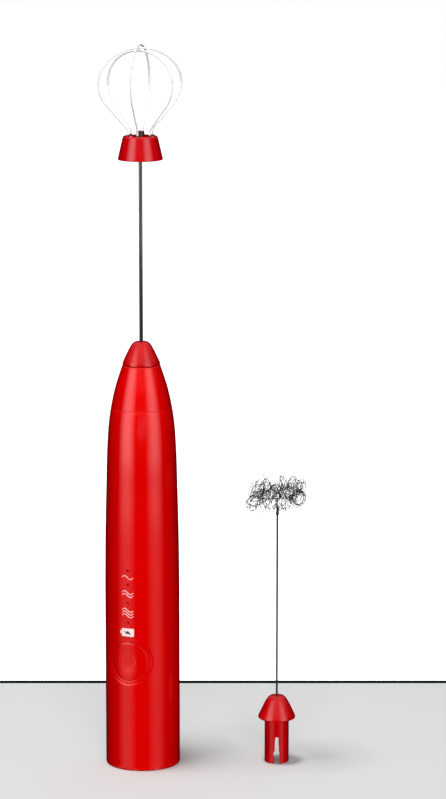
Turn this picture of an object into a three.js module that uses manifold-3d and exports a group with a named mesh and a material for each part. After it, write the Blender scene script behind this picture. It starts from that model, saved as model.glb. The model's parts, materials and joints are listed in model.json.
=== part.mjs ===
// A cordless milkshake mixer: a cylindrical handle with an ogive nose, a plug-in balloon whisk that a
// small motor spins, and a second plug-in whisk with a coil head that stands beside it.
// Millimetres, +Z up. The origin is the centre of the handle's flat base, and the front is -Y.

import * as THREE from 'three';
import { mergeVertices } from 'three/addons/utils/BufferGeometryUtils.js';
import Module from 'manifold-3d';

const wasm = await Module();
wasm.setup();

// ---- driving dimensions ----

const GAP = 0.3;
const WALL = 1.3;

const HANDLE_RADIUS = 14;
const TAPER_START = 70.5;
const HANDLE_TOP = 137.05;
const NOSE_BOTTOM = HANDLE_TOP + GAP;
const NOSE_TOP = 152.7;
const SPIGOT_BOTTOM = HANDLE_TOP - 8;
const PLUG_SEAT = NOSE_TOP + GAP;

const PANEL_TURN = THREE.MathUtils.degToRad(-22);
const BUTTON_Z = 42.3;
const BUTTON_RADIUS = 7.2;
const BUTTON_FACE = HANDLE_RADIUS - 0.4;
const DISH_RADIUS = 9;
const DISH_DEPTH = 0.28;
const NUB_RADIUS = 1.8;
const NUB_END = -11.3;
const LIGHTS = { light_low: 77.2, light_medium: 71.9, light_high: 64.8, light_charge: 57.3 };
const LIGHT_HOLE_RADIUS = 0.5;
const DRILL_START = -HANDLE_RADIUS - 2;

const PORT_Z = 13;
const PORT_WIDTH = 8.94;
const PORT_HEIGHT = 3.26;
const PORT_MOUTH = 13.2;

const BOARD_FRONT = -8.2;
const BOARD_BACK = -7;
const BOARD_LOW = 28;
const BOARD_HIGH = 90.5;
const BOARD_HALF_WIDTH = 8.5;
const BOARD_SCREW_RADIUS = 0.85;
const BOARD_SCREWS = { board_screw_lower: [-6.3, 31.5], board_screw_upper: [6.3, 84] };

const CELL_RADIUS = 7;
const CELL_Y = 3.8;
const CELL_LOW = 20.6;
const CELL_HIGH = 70.1;

const CHASSIS_RADIUS = 12.1;
const CHASSIS_LOW = 17.4;
const CHASSIS_HIGH = 86.5;
const CHASSIS_FRONT = -6.4;

const MOTOR_RADIUS = 10.15;
const MOTOR_LOW = 96;
const MOTOR_HIGH = 120;
const MOTOR_SCREW_X = 7;
const TERMINAL_X = 5.5;
const TERMINAL_LOW = MOTOR_LOW - 6;

const SHAFT_RADIUS = 1;
const PIN_Z = PLUG_SEAT - 13.4;
const PIN_RADIUS = 0.95;
const COUPLING_RADIUS = 2.85;

const PLUG_TUBE_LENGTH = 17;
const PLUG_TUBE_RADIUS = 4.6;
const PLUG_BORE_RADIUS = PLUG_TUBE_RADIUS - 1.4;
const PLUG_CAP_HEIGHT = 8.8;
const PLUG_ROD_START = 0.8;

const ROD_RADIUS = 0.7;
const BALLOON_CAP_BOTTOM = 229.5;
const BALLOON_CAP_HEIGHT = 8.8;
const BALLOON_CAP_TOP = BALLOON_CAP_BOTTOM + BALLOON_CAP_HEIGHT;
const WIRE_RADIUS = 0.33;
const BALLOON_RADIUS = 16;
const BALLOON_MIDDLE = 257.5;
const BALLOON_TOP = 271.6;
const LOOP_FOOT_RADIUS = 4.75;
const LOOP_STACK = 1.05;
const LOOP_AZIMUTHS = [79, 19, -41];

const SPARE_X = 50.8;
const SPARE_ROD_RADIUS = 0.38;
const RING_Z = 104;
const RING_RADIUS = 8.6;
const RING_TILT = THREE.MathUtils.degToRad(5);
const COIL_LAPS = 2;
const COIL_TURNS = 25;
const COIL_OFFSET = 2.2;
const COIL_REACH = 2.6;
const COIL_RISE = 3;
const COIL_WIRE_RADIUS = 0.2;

const ROUND = 40;
const SMALL_ROUND = 24;
const TINY_ROUND = 12;

// ---- materials ----

const finish = (color, roughness, metalness) =>
  new THREE.MeshStandardMaterial({ color, roughness, metalness });

const redSatin = finish(0xc80806, 0.35, 0.5);
const redGloss = finish(0xc8100c, 0.2, 0);
const steel = finish(0xb9bcc0, 0.25, 1);
const darkSteel = finish(0x6f7276, 0.3, 1);
const brass = finish(0xb8914a, 0.35, 1);
const whitePlastic = finish(0xe6e6e2, 0.5, 0);
const blackPlastic = finish(0x1c1c1e, 0.5, 0);
const redGuide = finish(0x6b1210, 0.2, 0);
const boardGreen = finish(0x1f5c36, 0.55, 0);
const cellBlue = finish(0x2d5b9e, 0.4, 0);
const redLead = finish(0xb3211c, 0.5, 0);
const blackLead = finish(0x202022, 0.5, 0);
const sealRubber = finish(0x2a2a2a, 0.8, 0);

// ---- helpers ----

// A closed geometry as a manifold solid, with only its positions kept and its shared corners merged.
function solid(geometry) {
  const bare = geometry.index ? geometry.toNonIndexed() : geometry.clone();
  bare.deleteAttribute('normal');
  bare.deleteAttribute('uv');
  const merged = mergeVertices(bare, 1e-5);
  return new wasm.Manifold(new wasm.Mesh({
    numProp: 3,
    vertProperties: new Float32Array(merged.attributes.position.array),
    triVerts: new Uint32Array(merged.index.array),
  }));
}

// A manifold solid as a geometry with flat-shaded normals.
function geometryOf(manifold) {
  const mesh = manifold.getMesh();
  const geometry = new THREE.BufferGeometry();
  geometry.setAttribute('position', new THREE.BufferAttribute(new Float32Array(mesh.vertProperties), 3));
  geometry.setIndex(new THREE.BufferAttribute(new Uint32Array(mesh.triVerts), 1));
  const flat = geometry.toNonIndexed();
  flat.computeVertexNormals();
  return flat;
}

const union = (first, ...others) => others.reduce((sum, other) => sum.add(other), first);
const cut = (first, ...others) => others.reduce((rest, other) => rest.subtract(other), first);

// A closed outline of [radius, z] points turned round the Z axis.
function turned(outline, segments = ROUND) {
  const points = outline.map(([radius, z]) => new THREE.Vector2(radius, z));
  if (THREE.ShapeUtils.isClockWise(points)) points.reverse();
  points.push(points[0].clone());
  return solid(new THREE.LatheGeometry(points, segments).rotateX(Math.PI / 2));
}

function diskZ(radius, low, high, segments = ROUND, x = 0, y = 0) {
  const cylinder = new THREE.CylinderGeometry(radius, radius, high - low, segments);
  return solid(cylinder.rotateX(Math.PI / 2).translate(x, y, (low + high) / 2));
}

// A cylinder along Y, with its ends at yLow and yHigh.
function diskY(radius, yLow, yHigh, z, segments = ROUND, x = 0) {
  const cylinder = new THREE.CylinderGeometry(radius, radius, yHigh - yLow, segments);
  return solid(cylinder.translate(x, (yLow + yHigh) / 2, z));
}

function ringZ(inner, outer, low, high, segments = ROUND) {
  return turned([[inner, low], [outer, low], [outer, high], [inner, high]], segments);
}

function block([xLow, xHigh], [yLow, yHigh], [zLow, zHigh]) {
  const box = new THREE.BoxGeometry(xHigh - xLow, yHigh - yLow, zHigh - zLow);
  return solid(box.translate((xLow + xHigh) / 2, (yLow + yHigh) / 2, (zLow + zHigh) / 2));
}

// A stadium outline lying in X and Z, pushed along Y.
function stadiumY(width, height, yLow, yHigh, z) {
  const shape = new THREE.Shape();
  const end = width / 2 - height / 2;
  shape.absarc(end, 0, height / 2, -Math.PI / 2, Math.PI / 2, false);
  shape.absarc(-end, 0, height / 2, Math.PI / 2, Math.PI * 1.5, false);
  const settings = { depth: yHigh - yLow, bevelEnabled: false, curveSegments: 8 };
  const bar = new THREE.ExtrudeGeometry(shape, settings);
  return solid(bar.rotateX(Math.PI / 2).translate(0, yHigh, z));
}

// A round wire along a curve.
function wire(curve, radius, steps, sides) {
  const corners = Array.from({ length: sides }, (_, i) => {
    const angle = (i / sides) * Math.PI * 2;
    return new THREE.Vector2(Math.cos(angle) * radius, Math.sin(angle) * radius);
  });
  curve.arcLengthDivisions = steps * 4;
  return solid(new THREE.ExtrudeGeometry(new THREE.Shape(corners), { steps, extrudePath: curve }));
}

const vector = (point) => new THREE.Vector3(...point);
const smoothLine = (points) => new THREE.CatmullRomCurve3(points.map(vector));

const mixer = new THREE.Group();
const handle = new THREE.Group();
handle.rotation.z = PANEL_TURN;
const spare = new THREE.Group();
spare.position.x = SPARE_X;
mixer.add(handle, spare);

function piece(name, manifold, material, parent) {
  const mesh = new THREE.Mesh(geometryOf(manifold), material);
  mesh.name = name;
  parent.add(mesh);
}

// ---- the handle's outline ----

// The taper, from the straight tube to the nose cone's rim: [radius, z].
const taper = new THREE.SplineCurve([
  [HANDLE_RADIUS, TAPER_START], [13.75, 90.5], [13.35, 106.5], [12.95, 120.5], [12.1, 132.5], [10.05, 143.5],
  [7.1, 152.9],
].map(([radius, z]) => new THREE.Vector2(radius, z)));

function handleRadius(z) {
  if (z <= TAPER_START) return HANDLE_RADIUS;
  let low = 0;
  let high = 1;
  while (high - low > 1e-6) {
    const middle = (low + high) / 2;
    if (taper.getPoint(middle).y < z) {
      low = middle;
    } else {
      high = middle;
    }
  }
  return taper.getPoint(low).x;
}

// The outline between two heights, moved inwards by inset, with a given number of steps.
function taperPoints(low, high, steps, inset = 0) {
  return Array.from({ length: steps + 1 }, (_, i) => {
    const z = low + ((high - low) * i) / steps;
    return [handleRadius(z) - inset, z];
  });
}

// ---- handle shell ----

function buildHandleTube() {
  const edge = 0.6;
  const shell = turned([
    [HANDLE_RADIUS - WALL, 0],
    [HANDLE_RADIUS - edge, 0],
    [HANDLE_RADIUS - edge * 0.3, edge * 0.3],
    [HANDLE_RADIUS, edge],
    ...taperPoints(TAPER_START, HANDLE_TOP, 7),
    ...taperPoints(TAPER_START, HANDLE_TOP, 4, WALL).reverse(),
  ]);
  const dish = diskY(DISH_RADIUS, DRILL_START, 0, BUTTON_Z)
    .intersect(ringZ(HANDLE_RADIUS - DISH_DEPTH, HANDLE_RADIUS + 2, BUTTON_Z - 12, BUTTON_Z + 12));
  const buttonHole = diskY(BUTTON_RADIUS + GAP, DRILL_START, 0, BUTTON_Z);
  const lightHoles = Object.values(LIGHTS)
    .map((z) => diskY(LIGHT_HOLE_RADIUS, DRILL_START, 0, z, TINY_ROUND));
  const portHole = stadiumY(PORT_WIDTH + 2 * GAP, PORT_HEIGHT + 2 * GAP, 0, HANDLE_RADIUS + 2, PORT_Z);
  piece('handle_tube', cut(shell, dish, buttonHole, ...lightHoles, portHole), redSatin, handle);
}

function buildBaseCap() {
  const radius = HANDLE_RADIUS - WALL - GAP;
  const thickness = 1.8;
  const skirtInner = 11;
  const skirtTop = 8;
  const cap = turned([
    [0, 0], [radius, 0], [radius, skirtTop], [skirtInner, skirtTop], [skirtInner, thickness], [0, thickness],
  ]);
  piece('base_cap', cap, redGloss, handle);
}

// The nose cone: a spigot inside the tube, a web that holds the seal, and the socket for a whisk's plug.
function buildNoseCone() {
  const spigotRadius = handleRadius(HANDLE_TOP) - WALL - GAP;
  const webTop = SPIGOT_BOTTOM + 3;
  const chamberRadius = 8.2;
  const chamberTop = HANDLE_TOP + 1;
  const socketRadius = PLUG_TUBE_RADIUS + 0.35;
  const sealSeat = 3.6;
  const mouth = 0.5;
  const cone = turned([
    [sealSeat, SPIGOT_BOTTOM],
    [spigotRadius, SPIGOT_BOTTOM],
    [spigotRadius, NOSE_BOTTOM],
    ...taperPoints(NOSE_BOTTOM, NOSE_TOP, 5),
    [socketRadius + mouth, NOSE_TOP],
    [socketRadius, NOSE_TOP - mouth],
    [socketRadius, chamberTop + 2],
    [chamberRadius, chamberTop],
    [chamberRadius, webTop],
    [sealSeat, webTop],
  ]);
  piece('nose_cone', cone, redSatin, handle);
  const seal = ringZ(SHAFT_RADIUS + 0.25, sealSeat - GAP, SPIGOT_BOTTOM, webTop, SMALL_ROUND);
  piece('shaft_seal', seal, sealRubber, handle);
}

// ---- button, lights and control board ----

// The button: a plate in its hole, a lug above and below that catches inside the tube's wall, and a nub
// that presses the switch's plunger.
function buildButton() {
  const backRadius = 12;
  const lugHalfWidth = 3.5;
  const lugReach = 9.2;
  const lugStart = 5.5;
  const lugInner = 11.2;
  const around = (reach) => [BUTTON_Z - reach, BUTTON_Z + reach];
  const plate = diskY(BUTTON_RADIUS, DRILL_START, 0, BUTTON_Z)
    .intersect(ringZ(backRadius, BUTTON_FACE, ...around(12)));
  const lugs = block([-lugHalfWidth, lugHalfWidth], [-HANDLE_RADIUS, 0], around(lugReach))
    .intersect(ringZ(lugInner, HANDLE_RADIUS - WALL - GAP, ...around(12)))
    .subtract(block([-lugHalfWidth - 1, lugHalfWidth + 1], [-HANDLE_RADIUS, 0], around(lugStart)));
  const nub = diskY(NUB_RADIUS, -backRadius - 0.5, NUB_END, BUTTON_Z, TINY_ROUND);
  piece('power_button', union(plate, lugs, nub), redSatin, handle);

  const plungerRadius = 1.6;
  const plungerInner = -9.4;
  const plunger = diskY(plungerRadius, NUB_END + GAP, plungerInner, BUTTON_Z, TINY_ROUND);
  piece('switch_plunger', plunger, blackPlastic, handle);

  const switchHalf = 3;
  const switchFront = -10.5;
  const body = block([-switchHalf, switchHalf], [switchFront, BOARD_FRONT - GAP], around(switchHalf));
  const plungerHole = diskY(plungerRadius + GAP, switchFront - 1, 0, BUTTON_Z, TINY_ROUND);
  piece('tact_switch', cut(body, plungerHole), darkSteel, handle);
}

// Four light chips on the board, and one clear guide whose nibs bring their light to the surface.
function buildLights() {
  const chipHalfWidth = 0.8;
  const chipHalfHeight = 0.4;
  const chipBack = BOARD_FRONT - GAP;
  const chipFront = chipBack - 1;
  for (const [name, z] of Object.entries(LIGHTS)) {
    const chip = block([-chipHalfWidth, chipHalfWidth], [chipFront, chipBack],
      [z - chipHalfHeight, z + chipHalfHeight]);
    piece(name, chip, whitePlastic, handle);
  }
  const heights = Object.values(LIGHTS);
  const barFront = -12.15;
  const barHalfWidth = 1.2;
  const beyond = 2.3;
  const barHeights = [Math.min(...heights) - beyond, Math.max(...heights) + beyond];
  const bar = block([-barHalfWidth, barHalfWidth], [barFront, chipFront - GAP], barHeights);
  const nibFront = 0.05 - HANDLE_RADIUS;
  const nibs = heights.map((z) => diskY(LIGHT_HOLE_RADIUS - 0.25, nibFront, barFront + 0.65, z, 8));
  piece('light_guide', union(bar, ...nibs), redGuide, handle);
}

function buildControlBoard() {
  const half = BOARD_HALF_WIDTH;
  const onBoard = BOARD_FRONT - GAP;
  const plate = block([-half, half], [BOARD_FRONT, BOARD_BACK], [BOARD_LOW, BOARD_HIGH]);
  const holes = Object.values(BOARD_SCREWS)
    .map(([x, z]) => diskY(BOARD_SCREW_RADIUS + GAP, BOARD_FRONT - 1, BOARD_BACK + 1, z, TINY_ROUND, x));
  piece('control_board', cut(plate, ...holes), boardGreen, handle);

  const headRadius = 1.7;
  const screwTip = -2;
  for (const [name, [x, z]] of Object.entries(BOARD_SCREWS)) {
    const head = diskY(headRadius, onBoard - 1, onBoard, z, TINY_ROUND, x);
    const shank = diskY(BOARD_SCREW_RADIUS, onBoard - 0.5, screwTip, z, TINY_ROUND, x);
    piece(name, union(head, shank), steel, handle);
  }
  const chip = block([2.6, 7], [onBoard - 1.1, onBoard], [59.5, 64.5]);
  piece('controller_chip', chip, blackPlastic, handle);
}

// ---- charging port ----

function buildChargingPort() {
  const shellBack = 6.2;
  const skin = 0.3;
  const outside = stadiumY(PORT_WIDTH, PORT_HEIGHT, shellBack, PORT_MOUTH, PORT_Z);
  const floor = shellBack + 1;
  const inside = stadiumY(PORT_WIDTH - 2 * skin, PORT_HEIGHT - 2 * skin, floor, PORT_MOUTH + 1, PORT_Z);
  piece('charging_socket', cut(outside, inside), steel, handle);
  const tongueHalfWidth = 3.35;
  const tongueHalfHeight = 0.35;
  const tongue = block([-tongueHalfWidth, tongueHalfWidth], [floor + GAP, PORT_MOUTH - 0.8],
    [PORT_Z - tongueHalfHeight, PORT_Z + tongueHalfHeight]);
  piece('socket_tongue', tongue, blackPlastic, handle);
  const boardLow = PORT_Z + PORT_HEIGHT / 2 + GAP;
  piece('charge_board', block([-7, 7], [-3, 9], [boardLow, boardLow + 1]), boardGreen, handle);
}

// ---- chassis and battery ----

function buildChassis() {
  const pocketRadius = CELL_RADIUS + 0.35;
  const pocketLow = CELL_LOW - 2;
  const pocketHigh = CELL_HIGH + 1.6;
  const cradleTop = MOTOR_HIGH - 0.5;
  const cradleInner = MOTOR_RADIUS + GAP;
  const cradleOuter = cradleInner + 0.9;
  const body = diskZ(CHASSIS_RADIUS, CHASSIS_LOW, CHASSIS_HIGH)
    .intersect(block([-15, 15], [CHASSIS_FRONT, 15], [0, 100]));
  const cradle = ringZ(cradleInner, cradleOuter, CHASSIS_HIGH - 2, cradleTop)
    .intersect(block([-15, 15], [-4, 15], [CHASSIS_HIGH - 2, cradleTop]));
  const bosses = Object.values(BOARD_SCREWS)
    .map(([x, z]) => diskY(2.2, BOARD_BACK + GAP, CHASSIS_FRONT + 1, z, 16, x));
  const screwHoles = Object.values(BOARD_SCREWS)
    .map(([x, z]) => diskY(BOARD_SCREW_RADIUS + GAP, -10, -1.5, z, TINY_ROUND, x));
  const pocket = diskZ(pocketRadius, pocketLow, pocketHigh, SMALL_ROUND, 0, CELL_Y);
  const pocketMouth = block([-4, 4], [-10, CELL_Y], [pocketLow, pocketHigh]);
  const wireWell = block([-5.5, 5.5], [-2, 8], [pocketHigh + 3, CHASSIS_HIGH + 1]);
  piece('chassis', cut(union(body, cradle, ...bosses), ...screwHoles, pocket, pocketMouth, wireWell),
    blackPlastic, handle);
}

function buildBattery() {
  const nub = 0.4;
  const nubRadius = 2.7;
  const tab = 0.3;
  const cell = turned([
    [0, CELL_LOW], [CELL_RADIUS, CELL_LOW], [CELL_RADIUS, CELL_HIGH - nub], [nubRadius, CELL_HIGH - nub],
    [nubRadius, CELL_HIGH], [0, CELL_HIGH],
  ], SMALL_ROUND);
  piece('battery_cell', cell.translate([0, CELL_Y, 0]), cellBlue, handle);
  const tabs = { battery_tab_top: CELL_HIGH + GAP, battery_tab_bottom: CELL_LOW - GAP - tab };
  for (const [name, z] of Object.entries(tabs)) {
    piece(name, block([-2.5, 2.5], [-2, 6], [z, z + tab]), steel, handle);
  }
}

function buildLeads() {
  const leadRadius = 0.5;
  const boardEnd = BOARD_BACK + leadRadius + GAP;
  const motorLead = (side) => [
    [side * TERMINAL_X, -1, TERMINAL_LOW],
    [side * 5.4, -3, TERMINAL_LOW - 1.9],
    [side * 5.2, -5, TERMINAL_LOW - 2.3],
    [side * 5, boardEnd, TERMINAL_LOW - 2.3],
  ];
  const routes = {
    battery_lead_red: [
      [1.5, -2.9, CELL_HIGH + 0.4], [1.5, -4.6, CELL_HIGH - 0.6], [1.5, -5.7, CELL_HIGH - 3],
      [1.5, boardEnd, CELL_HIGH - 6],
    ],
    battery_lead_black: [
      [-1.5, -2.4, CELL_LOW - 1], [-1.5, -4.2, CELL_LOW - 0.6], [-1.5, -5.6, CELL_LOW + 4],
      [-1.5, boardEnd, CELL_LOW + 10],
    ],
    motor_lead_red: motorLead(1),
    motor_lead_black: motorLead(-1),
  };
  for (const [name, points] of Object.entries(routes)) {
    const sleeve = name.endsWith('red') ? redLead : blackLead;
    piece(name, wire(smoothLine(points), leadRadius, 8, 6), sleeve, handle);
  }
}

// ---- motor and drive ----

function buildMotor() {
  const bossRadius = 3.1;
  const bossTop = MOTOR_HIGH + 3;
  const boreBottom = MOTOR_HIGH - 4;
  const bell = MOTOR_LOW - GAP;
  const bellHeight = 3.2;
  const screwRadius = 1;
  const mountHeight = 2;
  const can = turned([
    [0, MOTOR_LOW], [MOTOR_RADIUS - 0.5, MOTOR_LOW], [MOTOR_RADIUS, MOTOR_LOW + 0.5],
    [MOTOR_RADIUS, MOTOR_HIGH - 0.5], [MOTOR_RADIUS - 0.5, MOTOR_HIGH], [bossRadius, MOTOR_HIGH],
    [bossRadius, bossTop], [SHAFT_RADIUS + GAP, bossTop], [SHAFT_RADIUS + GAP, boreBottom], [0, boreBottom],
  ], SMALL_ROUND);
  const mountLow = MOTOR_HIGH + GAP;
  const mount = ringZ(bossRadius + GAP, 11.2, mountLow, mountLow + mountHeight, SMALL_ROUND);
  const holes = [-1, 1].map((side) =>
    diskZ(screwRadius + GAP, MOTOR_HIGH - 3, MOTOR_HIGH + 8, TINY_ROUND, side * MOTOR_SCREW_X));
  piece('motor_can', cut(can, ...holes), steel, handle);
  piece('motor_mount', cut(mount, ...holes), blackPlastic, handle);
  const bellDisk = diskZ(MOTOR_RADIUS - 0.2, bell - bellHeight, bell, SMALL_ROUND);
  const terminals = [-TERMINAL_X, TERMINAL_X]
    .map((x) => block([x - 1, x + 1], [-0.4, 0.4], [TERMINAL_LOW, bell - 2]));
  piece('motor_end_bell', union(bellDisk, ...terminals), whitePlastic, handle);

  const headRadius = 1.9;
  const headLow = mountLow + mountHeight + GAP;
  for (const [name, side] of [['motor_screw_left', -1], ['motor_screw_right', 1]]) {
    const head = diskZ(headRadius, headLow, headLow + 1.2, TINY_ROUND, side * MOTOR_SCREW_X);
    const shank = diskZ(screwRadius, MOTOR_HIGH - 2.5, headLow + 0.5, TINY_ROUND, side * MOTOR_SCREW_X);
    piece(name, union(head, shank), steel, handle);
  }
}

function buildDrive() {
  const shaftTop = PIN_Z - PIN_RADIUS - 1.2;
  const couplingBottom = SPIGOT_BOTTOM + 4;
  const couplingTop = PLUG_SEAT - 5;
  piece('motor_shaft', diskZ(SHAFT_RADIUS, MOTOR_HIGH - 3.5, shaftTop, 16), darkSteel, handle);
  const coupling = turned([
    [SHAFT_RADIUS + GAP, couplingBottom], [COUPLING_RADIUS, couplingBottom],
    [COUPLING_RADIUS, couplingTop - 0.8], [COUPLING_RADIUS - 0.8, couplingTop], [0, couplingTop],
    [0, shaftTop + GAP], [SHAFT_RADIUS + GAP, shaftTop + GAP],
  ], SMALL_ROUND);
  const pin = diskY(PIN_RADIUS, -4.4, 4.4, PIN_Z, 16);
  const pinHole = diskY(PIN_RADIUS + 0.25, -10, 10, PIN_Z, 16);
  piece('drive_coupling', cut(coupling, pinHole), brass, handle);
  piece('drive_pin', pin, darkSteel, handle);
}

// ---- whisk plugs ----

// The plug that both whisks have: a domed cap, and a split tube that clicks onto the drive pin.
// Its slot runs through along Y, and z = 0 is the underside of the cap.
function plugSolid(rodRadius) {
  const boreTop = -0.6;
  const holeRadius = rodRadius + GAP;
  const body = turned([
    [PLUG_BORE_RADIUS, -PLUG_TUBE_LENGTH],
    [PLUG_TUBE_RADIUS - 0.3, -PLUG_TUBE_LENGTH],
    [PLUG_TUBE_RADIUS, -PLUG_TUBE_LENGTH + 0.3],
    [PLUG_TUBE_RADIUS, 0],
    [6.75, 0],
    [7.05, 0.35],
    [6.95, 0.9],
    [6.5, 2.0],
    [5.6, 3.9],
    [4.8, 5.6],
    [3.85, 7.3],
    [3.35, 8.2],
    [3.0, 8.6],
    [2.5, PLUG_CAP_HEIGHT],
    [holeRadius, PLUG_CAP_HEIGHT],
    [holeRadius, PLUG_ROD_START - GAP],
    [0, PLUG_ROD_START - GAP],
    [0, boreTop],
    [PLUG_BORE_RADIUS - 0.6, boreTop],
    [PLUG_BORE_RADIUS, boreTop - 0.6],
  ], SMALL_ROUND);
  const detentZ = PIN_Z - PLUG_SEAT;
  const slot = new THREE.Shape([
    [-1.15, -PLUG_TUBE_LENGTH - 1], [1.15, -PLUG_TUBE_LENGTH - 1], [1.15, detentZ], [0.85, detentZ],
    [0.65, detentZ + 6], [-0.65, detentZ + 6], [-0.85, detentZ], [-1.15, detentZ],
  ].map(([x, z]) => new THREE.Vector2(x, z)));
  const slotCut = new THREE.ExtrudeGeometry(slot, { depth: 20, bevelEnabled: false });
  const detent = diskY(1.5, -10, 10, detentZ, 20);
  return cut(body, solid(slotCut.rotateX(Math.PI / 2).translate(0, 10, 0)), detent);
}

// ---- balloon whisk ----

// One hoop of the balloon, in its own upright plane: up from a foot, out along a straight flank, round a
// shoulder and over the top.
class HoopCurve extends THREE.Curve {
  constructor(azimuth, top) {
    super();
    const shoulderRadius = 11.5;
    const flank = THREE.MathUtils.degToRad(41.7);
    const centre = BALLOON_RADIUS - shoulderRadius;
    const footBottom = BALLOON_CAP_TOP - 1.9;
    const kneeZ = BALLOON_CAP_TOP + 2.3;
    this.direction = new THREE.Vector2(Math.cos(azimuth), Math.sin(azimuth));
    this.path = new THREE.Path();
    this.path.moveTo(LOOP_FOOT_RADIUS, footBottom);
    this.path.lineTo(LOOP_FOOT_RADIUS, kneeZ - 1);
    this.path.quadraticCurveTo(LOOP_FOOT_RADIUS, kneeZ, LOOP_FOOT_RADIUS + 0.7, kneeZ + 0.8);
    this.path.absarc(centre, BALLOON_MIDDLE, shoulderRadius, -flank, 0, false);
    this.path.absellipse(0, BALLOON_MIDDLE, BALLOON_RADIUS, top - BALLOON_MIDDLE, 0, Math.PI, false, 0);
    this.path.absarc(-centre, BALLOON_MIDDLE, shoulderRadius, Math.PI, Math.PI + flank, false);
    this.path.lineTo(-LOOP_FOOT_RADIUS - 0.7, kneeZ + 0.8);
    this.path.quadraticCurveTo(-LOOP_FOOT_RADIUS, kneeZ, -LOOP_FOOT_RADIUS, kneeZ - 1);
    this.path.lineTo(-LOOP_FOOT_RADIUS, footBottom);
  }

  getPoint(t, target = new THREE.Vector3()) {
    const point = this.path.getPoint(t);
    return target.set(point.x * this.direction.x, point.x * this.direction.y, point.y);
  }
}

function buildBalloonWhisk() {
  piece('whisk_plug', plugSolid(ROD_RADIUS).translate([0, 0, PLUG_SEAT]), redGloss, handle);

  const rodTop = BALLOON_CAP_TOP + 2;
  const rod = turned([
    [0, PLUG_SEAT + PLUG_ROD_START], [ROD_RADIUS, PLUG_SEAT + PLUG_ROD_START],
    [ROD_RADIUS, rodTop - 0.3], [ROD_RADIUS * 0.6, rodTop], [0, rodTop],
  ], TINY_ROUND);
  piece('whisk_rod', rod, steel, mixer);
  const collarLow = BALLOON_CAP_TOP + GAP;
  piece('rod_collar', ringZ(ROD_RADIUS + GAP, 1.55, collarLow, collarLow + 1.4, 16), darkSteel, mixer);

  const recessTop = BALLOON_CAP_BOTTOM + 4.8;
  const boss = 2.2;
  const cap = turned([
    [ROD_RADIUS + GAP, BALLOON_CAP_BOTTOM + 1],
    [boss, BALLOON_CAP_BOTTOM + 1],
    [boss, recessTop],
    [5.8, recessTop],
    [6.7, BALLOON_CAP_BOTTOM],
    [8.1, BALLOON_CAP_BOTTOM],
    [8.35, BALLOON_CAP_BOTTOM + 0.3],
    [8.25, BALLOON_CAP_BOTTOM + 0.7],
    [6.5, BALLOON_CAP_TOP - 0.5],
    [6.3, BALLOON_CAP_TOP - 0.15],
    [6.0, BALLOON_CAP_TOP],
    [ROD_RADIUS + GAP, BALLOON_CAP_TOP],
  ], SMALL_ROUND + 8);
  const azimuths = LOOP_AZIMUTHS.map(THREE.MathUtils.degToRad);
  const footHoles = azimuths.flatMap((azimuth) => [azimuth, azimuth + Math.PI]).map((azimuth) =>
    diskZ(WIRE_RADIUS + GAP, BALLOON_CAP_TOP - 2.2, BALLOON_CAP_TOP + 1, 10,
      LOOP_FOOT_RADIUS * Math.cos(azimuth), LOOP_FOOT_RADIUS * Math.sin(azimuth)));
  piece('balloon_cap', cut(cap, ...footHoles), redGloss, mixer);

  azimuths.forEach((azimuth, i) => {
    const hoop = new HoopCurve(azimuth, BALLOON_TOP - i * LOOP_STACK);
    piece(`whisk_hoop_${i + 1}`, wire(hoop, WIRE_RADIUS, 52, 5), steel, mixer);
  });
}

// ---- coil whisk ----

// A point by the tilted ring that holds the coil, out from it and above it.
const ringPoint = (angle, outward = 0, up = 0) => {
  const radius = RING_RADIUS + outward;
  const x = radius * Math.cos(angle);
  return new THREE.Vector3(x, radius * Math.sin(angle), RING_Z + up + x * Math.tan(RING_TILT));
};

// The coil's wire winds round the ring for two laps, one mostly below the ring and one mostly above it. An odd
// number of turns keeps the second lap's turns between the first's, and starting on the inside makes the wire
// pass outside the stem's spoke.
class CoilCurve extends THREE.Curve {
  constructor(start, end) {
    super();
    this.start = start;
    this.end = end;
  }

  getPoint(t) {
    const turn = t * COIL_TURNS * Math.PI * 2;
    const angle = this.start + (this.end - this.start) * t;
    const lap = THREE.MathUtils.smoothstep(t, 0.44, 0.56);
    const offset = COIL_OFFSET * (2 * lap - 1);
    return ringPoint(angle, -COIL_REACH * Math.cos(turn), offset + COIL_RISE * Math.sin(turn));
  }
}

function buildCoilWhisk() {
  piece('spare_plug', plugSolid(SPARE_ROD_RADIUS).translate([0, 0, PLUG_TUBE_LENGTH]), redGloss, spare);

  // The stem is one wire: up from the plug, out along a spoke, and round the ring that holds the coil.
  const spokeAngle = THREE.MathUtils.degToRad(100);
  const spoke = (distance) => new THREE.Vector3(
    distance * Math.cos(spokeAngle), distance * Math.sin(spokeAngle),
    RING_Z + distance * Math.cos(spokeAngle) * Math.tan(RING_TILT));
  const ringAngles = Array.from({ length: 13 }, (_, i) => spokeAngle + 0.28 + i * 0.44);
  const stemPoints = [
    new THREE.Vector3(0, 0, PLUG_TUBE_LENGTH + PLUG_ROD_START),
    new THREE.Vector3(0, 0, RING_Z - 30),
    new THREE.Vector3(0, 0, RING_Z - 3),
    spoke(0.9).setZ(RING_Z - 0.6),
    spoke(3),
    spoke(RING_RADIUS - 1.6),
    ...ringAngles.map((angle) => ringPoint(angle)),
  ];
  const stem = new THREE.CatmullRomCurve3(stemPoints, false, 'centripetal');
  piece('spare_stem', wire(stem, SPARE_ROD_RADIUS, 64, 6), steel, spare);

  const coil = new CoilCurve(spokeAngle + 0.35, spokeAngle + COIL_LAPS * Math.PI * 2 - 0.35);
  piece('spare_coil', wire(coil, COIL_WIRE_RADIUS, COIL_TURNS * 10, 4), steel, spare);
}

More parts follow.
